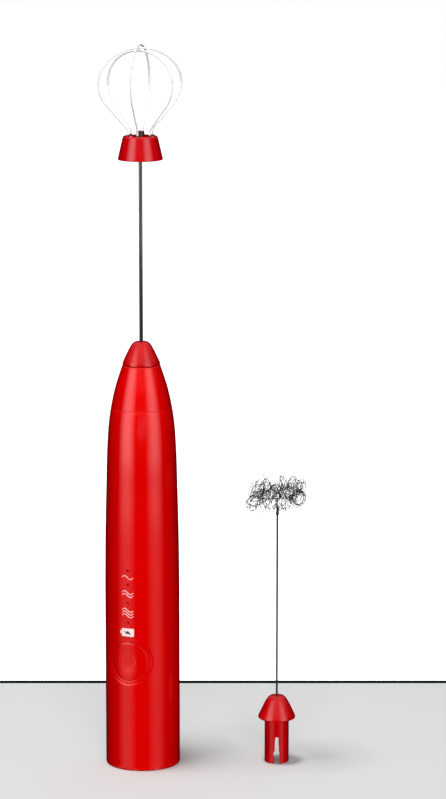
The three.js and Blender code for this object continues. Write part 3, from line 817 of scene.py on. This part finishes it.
def ribbon(name, path, widths, surface, material, lift=INK_LIFT):
    """A thin stroke of ink along (across, z) points, as wide at each as the list says, laid on a surface."""
    last = len(path) - 1
    points = []
    rings = []
    for i, (across, z) in enumerate(path):
        before = path[max(i - 1, 0)]
        after = path[min(i + 1, last)]
        side = Vector((before[1] - after[1], after[0] - before[0])).normalized()
        half = widths[i] / 2
        profile = [(-1, INK_BURY), (-0.9, lift * 0.6), (0, lift), (0.9, lift * 0.6), (1, INK_BURY)]
        rings.append([len(points) + k for k in range(len(profile))])
        for share, height in profile:
            points.append(surface(across + side.x * half * share, z + side.y * half * share, height))
    return new_mesh(name, points, capped(rings), material)


def plate(name, outline, centre, surface, material):
    """A filled patch of ink inside an outline, laid on a surface."""
    stations = [(scale, INK_LIFT) for scale in (0.01, 0.35, 0.68)]
    stations += [(0.96, INK_LIFT * 0.8), (1, INK_BURY), (0.6, INK_BURY)]
    points = []
    rings = []
    for scale, height in stations:
        rings.append([len(points) + i for i in range(len(outline))])
        for across, z in outline:
            points.append(surface(centre[0] + across * scale, centre[1] + z * scale, height))
    return new_mesh(name, points, capped(rings), material)


def rounded_rectangle(width, height, corner):
    """Its points, with the straight sides split too, so that the outline can bend round a cylinder."""
    steps = 4
    longest = 0.4
    corners = []
    for quarter, (x, z) in enumerate([(1, 1), (-1, 1), (-1, -1), (1, -1)]):
        centre = Vector((x * (width / 2 - corner), z * (height / 2 - corner)))
        for k in range(steps + 1):
            angle = radians(90 * (quarter + k / steps))
            corners.append(centre + Vector((cos(angle), sin(angle))) * corner)
    outline = []
    for point, following in zip(corners, corners[1:] + corners[:1]):
        count = max(1, ceil((following - point).length / longest))
        outline += [tuple(point.lerp(following, i / count)) for i in range(count)]
    return outline


def build_marks():
    """The marks beside the lights: one, two and three waves for the speeds, and a battery for charging."""
    wave_width = 4.6
    wave_height = 0.68
    stroke = 0.42
    row_pitch = 1.06
    steps = 24
    below_light = {"one": (LIGHT_HEIGHTS[0] - 2.5, 1), "two": (LIGHT_HEIGHTS[1] - 3.5, 2),
                   "three": (LIGHT_HEIGHTS[2] - 3.7, 3)}
    for name, (z, rows) in below_light.items():
        waves = []
        for row in range(rows):
            middle_z = z + ((rows - 1) / 2 - row) * row_pitch
            path = []
            for i in range(steps + 1):
                t = i / steps
                path.append(((t - 0.5) * wave_width, middle_z + wave_height * sin(2 * pi * t)))
            widths = [stroke * min(1, 0.45 + 3.5 * min(i, steps - i) / steps) for i in range(steps + 1)]
            waves.append(ribbon("wave", path, widths, on_handle, pale_ink))
        put(joined(f"mark_speed_{name}", waves), "handle", "white_plastic", move=TO_PANEL)

    z = LIGHT_HEIGHTS[3] - 3.7
    width = 5.1
    height = 3.15
    body = plate("body", rounded_rectangle(width, height, 0.3), (0, z), on_handle, white_ink)
    knob = rounded_rectangle(0.55, 1.2, 0.15)
    terminal = plate("terminal", knob, (-width / 2 - 0.3, z), on_handle, white_ink)
    put(joined("mark_battery", [body, terminal]), "handle", "white_plastic", move=TO_PANEL)
    bolt_path = [(-1.3, z + 0.4), (-0.35, z - 0.36), (0.1, z + 0.4), (0.3, z - 0.1), (1.25, z - 0.7)]
    bolt = ribbon("mark_bolt", bolt_path, [0.4, 0.85, 0.95, 0.8, 0.3], on_handle, dark_ink, lift=0.07)
    put(bolt, "handle", "black_plastic", move=TO_PANEL)

    ring_radius = 2.6
    opening = 38
    arc_steps = 40
    arc = []
    for i in range(arc_steps + 1):
        angle = radians(90 + opening + (360 - 2 * opening) * i / arc_steps)
        arc.append((ring_radius * cos(angle), BUTTON_Z + ring_radius * sin(angle)))
    bar = [(0, BUTTON_Z + 0.5 + 0.27 * i) for i in range(11)]
    symbol = [ribbon("stroke", path, [stroke] * len(path), on_button, ghost_ink) for path in (arc, bar)]
    put(joined("mark_power", symbol), "button", "white_plastic", move=TO_PANEL)


# ---- charging port ----


def build_port():
    segments = 72

    def ring(inset, y):
        reach = stadium_reach(PORT_WIDTH - 2 * inset, PORT_HEIGHT - 2 * inset)
        start = len(points)
        for i in range(segments):
            angle = 2 * pi * i / segments
            distance = reach(angle)
            points.append((distance * cos(angle), y, PORT_Z + distance * sin(angle)))
        return list(range(start, start + segments))

    skin = 0.3
    points = []
    stations = [
        (0.6, PORT_BACK), (0.1, PORT_BACK), (0, PORT_BACK + 0.3), (0, PORT_MOUTH - 0.15),
        (0.05, PORT_MOUTH - 0.04), (0.15, PORT_MOUTH), (skin, PORT_MOUTH - 0.1),
        (skin + 0.02, PORT_MOUTH - 0.4), (skin, PORT_BACK + 1.2), (skin + 0.2, PORT_BACK + 1),
    ]
    rings = [ring(inset, y) for inset, y in stations]
    socket = new_mesh("port_shell", points, capped(rings), plated_steel)
    put(socket, "handle", "bright_steel", "charging_socket", move=TO_PANEL)

    tongue_half = 0.35
    contacts = []
    for side in (-1, 1):
        for i in range(6):
            x = (i - 2.5) * 0.95
            strip = [(x + a, b) for a, b in rounded_rectangle(0.45, 3.6, 0.1)]
            z = PORT_Z + side * tongue_half
            corners = [(a, PORT_MOUTH - 3.2 + b, z + side * up) for up in (-0.05, 0.05) for a, b in strip]
            contacts.append(prism("contact", corners, brass))
    put(joined("tongue_contacts", contacts), "handle", "brass", move=TO_PANEL)


# ---- plugs ----


def plug_mesh(name, rod_radius):
    """A whisk's plug: a domed cap, and a split tube with a round detent. z = 0 is the cap's underside."""
    hole = rod_radius + 0.12
    outline = [
        (PLUG_BORE_RADIUS, -PLUG_TUBE_LENGTH, 0.2), (PLUG_TUBE_RADIUS, -PLUG_TUBE_LENGTH, 0.45),
        (PLUG_TUBE_RADIUS, 0, 0.25), (6.75, 0, 0.12), (7.05, 0.32, 0.15), (6.98, 0.85, 0.2),
        (6.5, 2.0, 0.5), (5.6, 3.9, 0.8), (4.8, 5.6, 0.8), (3.85, 7.3, 0.8), (3.1, 8.3, 0.6),
        (2.2, PLUG_CAP_HEIGHT, 0.6), (1.5, PLUG_CAP_HEIGHT, 0.2), (1.25, PLUG_CAP_HEIGHT - 0.25, 0.1),
        (hole, PLUG_CAP_HEIGHT - 0.45), (hole, PLUG_ROD_START - GAP), (0, PLUG_ROD_START - GAP),
        (0, -0.6), (PLUG_BORE_RADIUS, -0.6, 0.5),
    ]
    plug = turned(name, outline, red_gloss, 120)

    def cutter(outline):
        return prism("cutter", [(x, y, z) for y in (-10, 10) for x, z in outline], red_gloss)

    slot_top = DETENT_Z + 6.9
    slot = [
        (-1.15, -PLUG_TUBE_LENGTH - 1), (1.15, -PLUG_TUBE_LENGTH - 1), (1.1, DETENT_Z),
        (0.85, DETENT_Z + 0.5), (0.66, slot_top - 0.75), (0.5, slot_top - 0.25), (0.2, slot_top),
        (-0.2, slot_top), (-0.5, slot_top - 0.25), (-0.66, slot_top - 0.75), (-0.85, DETENT_Z + 0.5),
        (-1.1, DETENT_Z),
    ]
    detent_radius = 1.5
    detent_sides = 32
    detent = []
    for i in range(detent_sides):
        angle = 2 * pi * (i + 0.5) / detent_sides
        detent.append((detent_radius * cos(angle), DETENT_Z + detent_radius * sin(angle)))
    carve(plug, cutter(slot), cutter(detent))
    return plug


def build_plugs():
    plug = plug_mesh("whisk_plug_cap", ROD_RADIUS)
    put(plug, "whisk", "red_gloss", "whisk_plug", move=TO_PANEL @ shift(0, 0, PLUG_SEAT))
    spare = plug_mesh("spare_plug_cap", SPARE_ROD_RADIUS)
    put(spare, "spare", "red_gloss", "spare_plug", move=TO_SPARE @ shift(0, 0, PLUG_TUBE_LENGTH))


# ---- balloon whisk ----


def build_rod():
    rod_top = BALLOON_CAP_TOP + 2
    rod = [
        (0, PLUG_SEAT + PLUG_ROD_START), (ROD_RADIUS, PLUG_SEAT + PLUG_ROD_START, 0.2),
        (ROD_RADIUS, rod_top, 0.35), (0, rod_top),
    ]
    put(turned("rod", rod, bright_steel, 32), "whisk", "bright_steel", "whisk_rod")
    collar_low = BALLOON_CAP_TOP + 0.02
    collar_high = collar_low + 1.68
    collar = [
        (ROD_RADIUS + 0.04, collar_low), (1.55, collar_low, 0.1), (1.55, collar_low + 0.5, 0.08),
        (1.4, collar_low + 0.6, 0.08), (1.4, collar_low + 0.85, 0.08), (1.55, collar_low + 0.95, 0.08),
        (1.55, collar_high, 0.2), (ROD_RADIUS + 0.04, collar_high, 0.1),
    ]
    put(turned("collar", collar, dark_steel, 48), "whisk", "plated_steel", "rod_collar")


def build_balloon_cap():
    recess_top = BALLOON_CAP_BOTTOM + 4.8
    boss = 2.2
    hole = ROD_RADIUS + 0.12
    outline = [
        (hole, BALLOON_CAP_BOTTOM + 1), (boss, BALLOON_CAP_BOTTOM + 1, 0.2), (boss, recess_top, 0.3),
        (5.8, recess_top, 0.4), (6.7, BALLOON_CAP_BOTTOM, 0.2), (8.1, BALLOON_CAP_BOTTOM, 0.12),
        (8.35, BALLOON_CAP_BOTTOM + 0.3, 0.12), (8.25, BALLOON_CAP_BOTTOM + 0.75, 0.2),
        (6.5, BALLOON_CAP_TOP - 0.5, 0.25), (6.2, BALLOON_CAP_TOP, 0.35), (hole, BALLOON_CAP_TOP),
    ]
    cap = turned("balloon_base", outline, red_gloss, 128)
    drills = []
    for azimuth in HOOP_AZIMUTHS:
        for turn in (0, 180):
            angle = radians(azimuth + turn)
            drill = turned("drill", [(0, -2), (0.48, -2), (0.48, 1), (0, 1)], red_gloss, 24)
            drill.data.transform(shift(HOOP_FOOT * cos(angle), HOOP_FOOT * sin(angle), BALLOON_CAP_TOP))
            drills.append(drill)
    carve(cap, *drills)
    put(cap, "whisk", "red_gloss", "balloon_cap")


def hoop_path(azimuth, top):
    """One hoop in its own upright plane: a foot, a knee, a straight flank, a shoulder, and over the top."""
    shoulder = 11.5
    flank = radians(41.7)
    centre = BALLOON_RADIUS - shoulder
    foot_z = BALLOON_CAP_TOP - 1.9
    knee = BALLOON_CAP_TOP + 2.3
    knee_steps = 6
    flank_steps = 6
    shoulder_steps = 16
    crown_steps = 36
    half = [(HOOP_FOOT, foot_z), (HOOP_FOOT, foot_z + 1.5), (HOOP_FOOT, knee - 1)]
    start, corner, end = (Vector(at) for at in (half[-1], (HOOP_FOOT, knee), (HOOP_FOOT + 0.7, knee + 0.8)))
    half += [tuple(bend(start, corner, end, i / knee_steps)) for i in range(1, knee_steps + 1)]
    flank_end = Vector((centre + shoulder * cos(flank), BALLOON_MIDDLE - shoulder * sin(flank)))
    half += [tuple(end.lerp(flank_end, i / flank_steps)) for i in range(1, flank_steps)]
    for i in range(shoulder_steps + 1):
        angle = flank * (i / shoulder_steps - 1)
        half.append((centre + shoulder * cos(angle), BALLOON_MIDDLE + shoulder * sin(angle)))
    for i in range(1, crown_steps + 1):
        angle = pi / 2 * i / crown_steps
        half.append((BALLOON_RADIUS * cos(angle), BALLOON_MIDDLE + (top - BALLOON_MIDDLE) * sin(angle)))
    whole = half + [(-out, z) for out, z in reversed(half[:-1])]
    cosine, sine = cos(radians(azimuth)), sin(radians(azimuth))
    return [(out * cosine, out * sine, z) for out, z in whole]


def build_hoops():
    hole = WIRE_RADIUS + 0.01
    collar = [
        (hole, -0.3), (0.46, -0.3), (0.46, 0.1, 0.1),
        (0.62, 0.1, 0.1), (0.56, 0.42, 0.15), (hole, 0.5, 0.05),
    ]
    ferrules = []
    for i, (azimuth, top) in enumerate(zip(HOOP_AZIMUTHS, HOOP_TOPS), start=1):
        path = hoop_path(azimuth, top)
        # The hoop's near-white colour is a painted sheen, not the steel's own colour.
        hoop = swept(f"hoop_{i}", path, WIRE_RADIUS, hoop_steel_painted_sheen, 14)
        put(hoop, "whisk", "bright_steel", f"whisk_hoop_{i}")
        for end in (path[0], path[-1]):
            ferrule = turned("ferrule", collar, dark_steel, 24)
            ferrule.data.transform(shift(end[0], end[1], BALLOON_CAP_TOP))
            ferrules.append(ferrule)
    put(joined("hoop_ferrules", ferrules), "whisk", "plated_steel")


# ---- coil whisk ----


def ring_point(angle, outward=0.0, up=0.0):
    """A point by the ring that holds the coil, out from it and above it."""
    radius = RING_RADIUS + outward
    x = radius * cos(angle)
    return Vector((x, radius * sin(angle), RING_Z + up + x * tan(RING_TILT)))


SPOKE = radians(100)


def build_stem():
    """The stem thins where it enters the coil, bends out along a spoke and goes round the ring."""
    bottom = PLUG_TUBE_LENGTH + PLUG_ROD_START
    upright = [(0, 0, z) for z in (bottom, RING_Z - 55, RING_Z - 30, RING_Z - 10, RING_Z - 5)]
    outwards = ((0.9, -0.6), (3, 0), (RING_RADIUS - 1.6, 0))
    spoke = [ring_point(SPOKE, out - RING_RADIUS, up) for out, up in outwards]
    first = SPOKE + 0.28
    step = 0.44
    ring = [ring_point(first + i * step) for i in range(13)]
    thick = swept("thick", spline(upright), SPARE_ROD_RADIUS, dark_steel, 16)
    thin = swept("thin", spline([upright[-1], *spoke, *ring]), 0.3 * SPARE_ROD_RADIUS, dark_steel, 12)
    put(joined("stem", [thick, thin]), "spare", "bright_steel", "spare_stem", move=TO_SPARE)

    hole = SPARE_ROD_RADIUS + 0.02
    sleeve = [(hole, -0.7), (0.55, -0.7, 0.1), (0.66, 0, 0.25), (0.6, 0.7, 0.2), (hole, 0.8)]
    crimp = turned("stem_crimp", sleeve, dark_steel, 32)
    put(crimp, "spare", "plated_steel", move=TO_SPARE @ shift(0, 0, RING_Z - 7.6))


def build_coil():
    """The wire wound loosely round the ring, for one lap mostly below it and one mostly above it.

    Every turn has its own size, lean and spacing, and a small one hangs to one side of its place. They crowd
    together at the front and back. Those on the -X side slope, and some of them stand up."""
    laps = 2
    turns = 210
    steps = 16
    wire = 0.065
    reach = 2.7
    rise = 2.9
    offset = 2.2
    chance = random.Random(11)
    widest = 1.15
    tallest = 1.15
    crowding = 0.2
    crossing = 0.06
    end_gap = 0.35
    start = SPOKE + end_gap
    end = SPOKE + laps * 2 * pi - end_gap
    habits = []
    for i in range(turns + 2):
        habits.append({
            "width": chance.uniform(0.35, widest),
            "height": chance.uniform(0.4, tallest),
            "lean": chance.uniform(-0.28, 0.28),
            "shift": chance.uniform(-0.14, 0.14),
            "push": chance.uniform(-1, 1),
            "lift": chance.uniform(-1, 1),
            "stand": chance.choice((0, 0, 0, 1)),
        })
    path = []
    for i in range(turns * steps + 1):
        turn = i / steps
        whole = int(turn)
        part = turn - whole
        part = part * part * (3 - 2 * part)
        habit = {key: habits[whole][key] * (1 - part) + habits[whole + 1][key] * part for key in habits[0]}
        share = turn / turns
        even = start + (end - start) * share
        along = even + crowding * sin(2 * even)
        lap = min(1, max(-1, (share - 0.5) / crossing))
        left = max(0, -cos(along))
        phase = 2 * pi * turn
        slack = habit["lift"] * (tallest - habit["height"])
        up = offset * lap + rise * (habit["height"] * sin(phase) + slack)
        if up > 0:
            up *= 1 + 0.45 * habit["stand"] * left
        slack = habit["push"] * (widest - habit["width"])
        outward = -reach * (habit["width"] * cos(phase) + slack) - 0.25 * left * up
        angle = along + habit["shift"] + habit["lean"] * sin(phase)
        path.append(ring_point(angle, outward, up))
    coil = swept("coil", path, wire, dark_steel, 8)
    put(coil, "spare", "bright_steel", "spare_coil", move=TO_SPARE)


# ---- CAD nodes that stay ----

CAD_LOOKS = [
    (seal_rubber, ["shaft_seal"]),
    (black_plastic, ["switch_plunger", "controller_chip", "socket_tongue", "chassis", "motor_mount"]),
    (white_plastic, [*LIGHT_NODES, "motor_end_bell"]),
    (red_guide, ["light_guide"]),
    (green_board, ["control_board", "charge_board"]),
    (plated_steel, ["tact_switch", "board_screw_lower", "board_screw_upper", "battery_tab_top",
                    "battery_tab_bottom", "motor_can", "motor_screw_left", "motor_screw_right"]),
    (bright_steel, ["motor_shaft", "drive_pin"]),
    (brass, ["drive_coupling"]),
    (blue_wrap, ["battery_cell"]),
    (red_lead, ["battery_lead_red", "motor_lead_red"]),
    (black_lead, ["battery_lead_black", "motor_lead_black"]),
]


def dress_cad_nodes():
    for material, names in CAD_LOOKS:
        for name in names:
            node = frame["nodes"][name]
            for slot in node.material_slots:
                slot.material = material
            crisp(node.data)


# ---- floor, lights and camera ----


def build_floor():
    """A grey table whose far edge is a dark line, and white beyond it.

    The object neither mirrors these sheets nor takes light from them."""
    table_edge = 109.35
    line_width = 4.3
    table_near = -600
    table_side = 900
    beyond = 3000

    def sheet(name, side, near, far, material):
        corners = [(-side, near, 0), (side, near, 0), (side, far, 0), (-side, far, 0)]
        floor = new_mesh(name, corners, [(0, 1, 2, 3)], material)
        floor.visible_glossy = False
        floor.visible_diffuse = False

    grey, tree, shader = new_material("floor_grey")
    tone = mixed(tree, between(tree, noise(tree, 400, 2), 0, 1), (0.68, 0.685, 0.685), (0.665, 0.67, 0.67))
    feed(tree, shader, Base_Color=tone, Roughness=0.8, Specular_IOR_Level=0.05)
    white, tree, shader = new_material("floor_white")
    feed(tree, shader, Base_Color=(0.9, 0.9, 0.9, 1), Roughness=0.8, Specular_IOR_Level=0.05,
         Emission_Color=(1, 1, 1, 1), Emission_Strength=1.0)
    line, tree, shader = new_material("floor_line")
    feed(tree, shader, Base_Color=(0.004, 0.011, 0.01, 1), Roughness=0.8, Specular_IOR_Level=0.05)
    sheet("floor_near", table_side, table_near, table_edge, grey)
    sheet("floor_edge", table_side, table_edge, table_edge + line_width, line)
    sheet("floor_far", beyond, table_edge + line_width, beyond, white)


def build_world():
    """White to the camera. For light and reflections it is a dark studio with a bright ceiling.

    A soft fill from behind gives light alone, and two tall soft strips are only mirrored. Each strip has the
    angle of its middle from the front (positive is to the right), half its width, both in degrees, and its
    strength. They are dim well below the horizon, and fade out overhead."""
    strips = ((-50, 19, 1.0), (45, 18, 0.8))
    softness = radians(11)
    world = bpy.data.worlds.new("studio")
    bpy.context.scene.world = world
    world.use_nodes = True
    tree = world.node_tree
    tree.nodes.clear()
    direction = add(tree, "TexCoord").outputs["Generated"]
    axes = add(tree, "SeparateXYZ", {"Vector": direction}).outputs
    toward = maths(tree, "MULTIPLY", axes["Y"], -1)
    azimuth = maths(tree, "ARCTAN2", axes["X"], toward)
    glow = between(tree, axes["Z"], 0.0, 0.4, 0.25, 0.85)
    rays = add(tree, "LightPath").outputs
    matt = maths(tree, "SUBTRACT", 1, rays["Is Glossy Ray"])
    behind = between(tree, axes["Y"], 0, 0.4, 0.1, 0.8)
    behind = maths(tree, "MULTIPLY", behind, matt)
    glow = maths(tree, "ADD", glow, behind)
    foot = between(tree, axes["Z"], 0.28, 1.4, -0.185, -0.12)
    fading = between(tree, axes["Z"], 1, 0, 0.4, 0.8)
    level = maths(tree, "MULTIPLY", foot, fading)
    level = maths(tree, "MULTIPLY", level, rays["Is Glossy Ray"])
    for middle_angle, half_width, strength in strips:
        offset = maths(tree, "SUBTRACT", azimuth, radians(middle_angle))
        offset = maths(tree, "ABSOLUTE", offset)
        edge = radians(half_width)
        strip = between(tree, offset, strength, 0, edge - softness, edge + softness)
        glow = maths(tree, "MULTIPLY_ADD", strip, level, glow)
    studio = add(tree, "Background", {"Color": (1, 1, 1, 1), "Strength": glow})
    white = add(tree, "Background", {"Color": (1, 1, 1, 1), "Strength": 1.0})
    mix = add(tree, "MixShader", {0: rays["Is Camera Ray"], 1: studio.outputs[0], 2: white.outputs[0]})
    add(tree, "OutputWorld", {"Surface": mix.outputs[0]})


def softbox(name, azimuth, distance, height, size, power):
    """A softbox that only lights, and isn't mirrored, by its angle from the front (positive is right)."""
    light = bpy.data.lights.new(name, "AREA")
    light.shape = "RECTANGLE"
    light.size, light.size_y = size
    light.energy = power
    lamp = in_scene(name, light)
    lamp.visible_glossy = False
    lamp.visible_camera = False
    angle = radians(azimuth)
    lamp.location = (distance * sin(angle), -distance * cos(angle), height)
    aim = Vector((0, 0, 0.12)) - lamp.location
    lamp.rotation_euler = aim.to_track_quat("-Z", "Y").to_euler()


def build_lights():
    softbox("front", azimuth=3, distance=1.6, height=0.25, size=(0.9, 0.4), power=29)
    softbox("upper_left", azimuth=-62, distance=0.11, height=0.95, size=(0.18, 0.18), power=5.6)


def build_camera():
    looking_down = 10.5
    data = bpy.data.cameras.new("camera")
    data.lens = 145
    data.sensor_width = 36
    data.clip_end = 20
    camera = in_scene("camera", data)
    camera.location = (0.0304, -1.18, 0.3585)
    camera.rotation_euler = (radians(90 - looking_down), 0, 0)
    bpy.context.scene.camera = camera
    bpy.context.scene.view_settings.view_transform = "Standard"


build_camera()
build_floor()
build_world()
build_lights()
build_handle_shell()
build_nose_and_base()
build_button()
build_marks()
build_port()
build_plugs()
build_rod()
build_balloon_cap()
build_hoops()
build_stem()
build_coil()
dress_cad_nodes()
